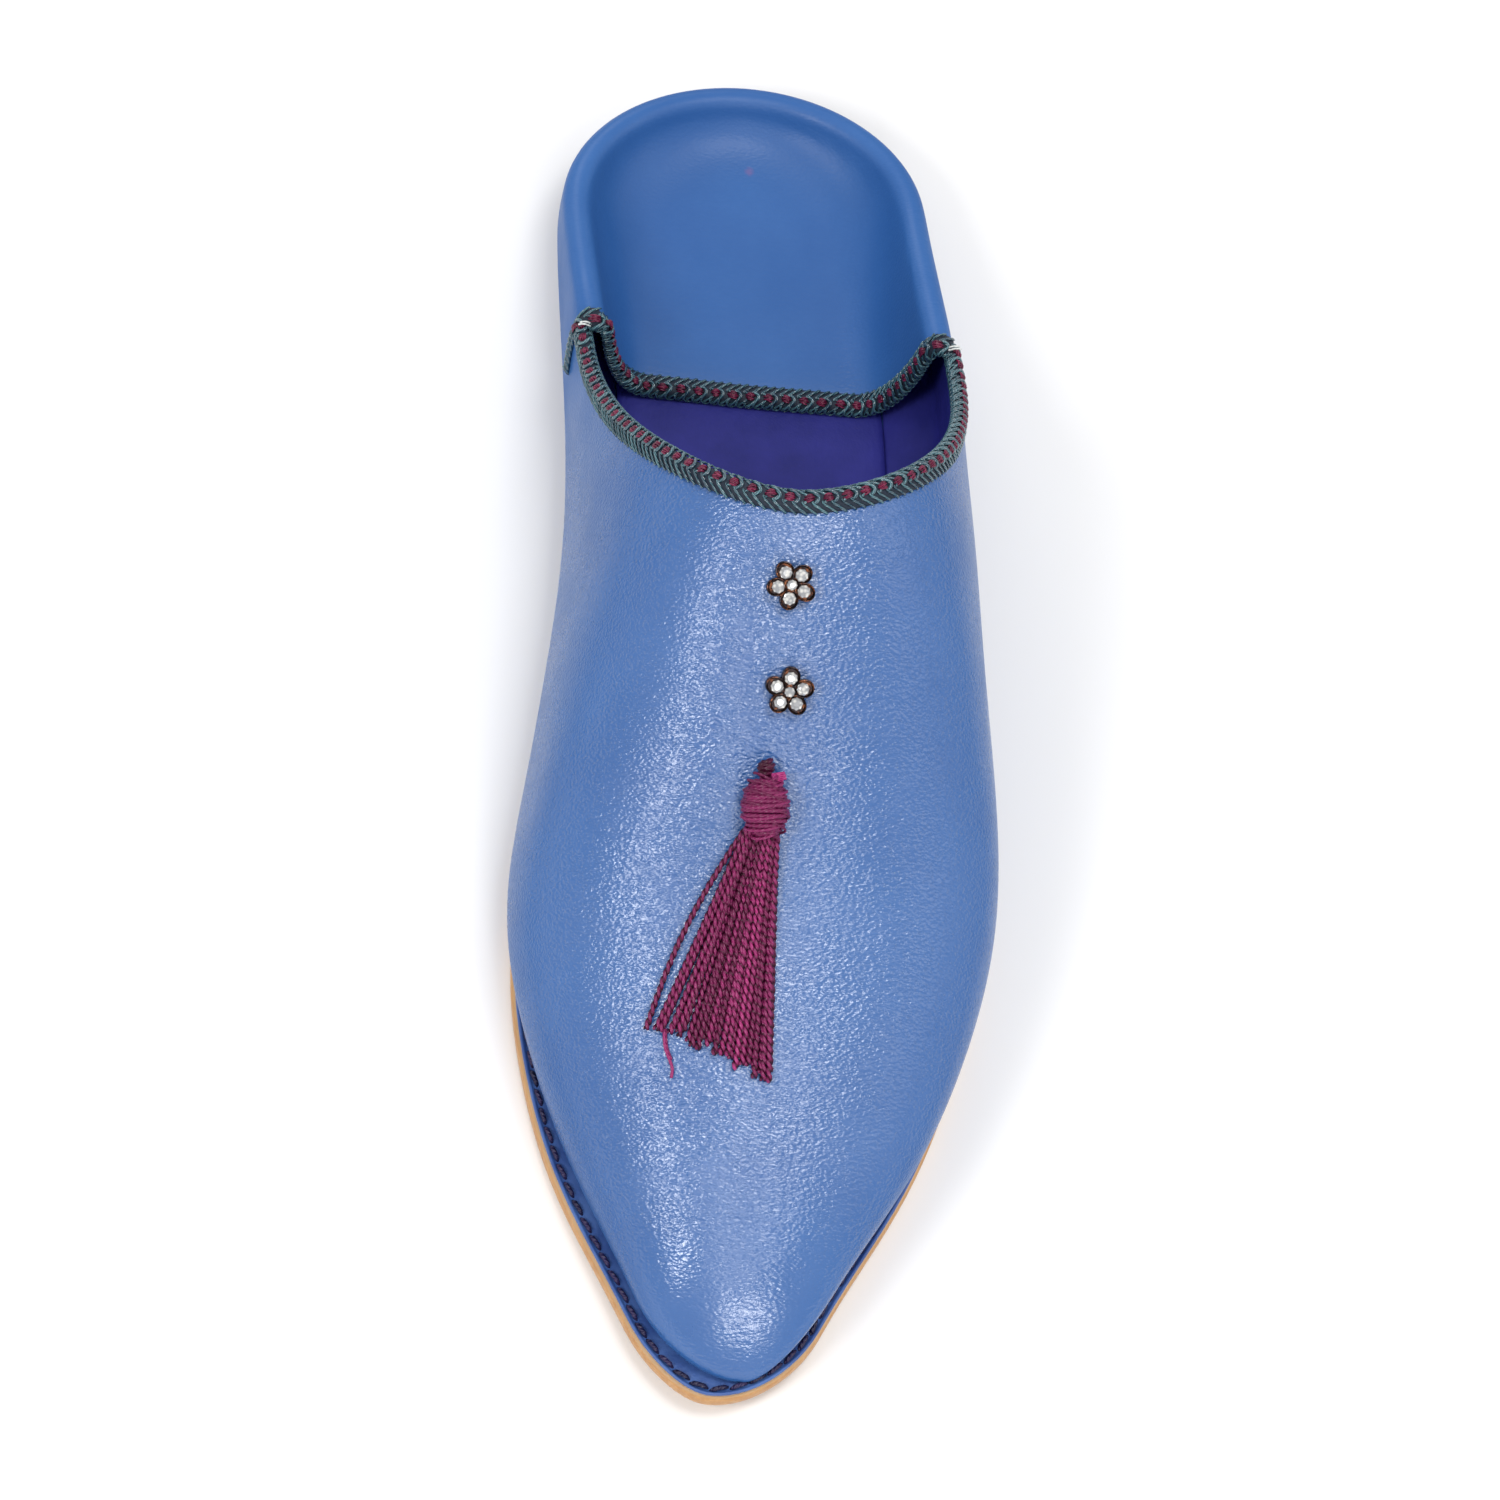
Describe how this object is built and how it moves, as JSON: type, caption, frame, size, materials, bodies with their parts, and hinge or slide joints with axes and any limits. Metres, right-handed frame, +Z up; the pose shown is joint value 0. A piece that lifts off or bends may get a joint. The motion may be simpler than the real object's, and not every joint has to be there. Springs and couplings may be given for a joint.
{
  "type": "babouche slipper",
  "caption": "Left babouche: flat leather slipper with a pointed toe, the quarter folded down over the heel seat, a braided collar, flower studs and a tassel on the vamp.",
  "frame": {"origin": "middle of the slipper's box on the floor it stands on", "axes": "+X to the outer side of the foot, +Y from toe to heel, +Z up"},
  "size_m": [0.0914, 0.2694, 0.0814],
  "materials": {
    "sole_leather": "natural tan sole leather, burnished edge",
    "rand_leather": "dyed blue leather, stitched",
    "lining_leather": "matt violet lining leather",
    "upper_leather": "blue goat leather, fine grain, soft gloss",
    "braid": "worked cord braid, teal with magenta",
    "stud_metal": "dark plated metal",
    "rhinestone": "clear cut glass, foil backed",
    "silk": "magenta twisted silk thread"
  },
  "bodies": {
    "root": {"outsole": "sole_leather", "rand": "rand_leather", "insole": "lining_leather", "upper": "upper_leather", "collar_braid": "braid", "heel_braid": "braid", "flower_stud_1": "stud_metal", "flower_stud_2": "stud_metal", "flower_stud_1_stone_1": "rhinestone", "flower_stud_1_stone_2": "rhinestone", "flower_stud_1_stone_3": "rhinestone", "flower_stud_1_stone_4": "rhinestone", "flower_stud_1_stone_5": "rhinestone", "flower_stud_1_stone_6": "rhinestone", "flower_stud_2_stone_1": "rhinestone", "flower_stud_2_stone_2": "rhinestone", "flower_stud_2_stone_3": "rhinestone", "flower_stud_2_stone_4": "rhinestone", "flower_stud_2_stone_5": "rhinestone", "flower_stud_2_stone_6": "rhinestone", "tassel_knot": "silk", "tassel_head": "silk", "tassel_skirt": "silk"}
  },
  "joints": []
}
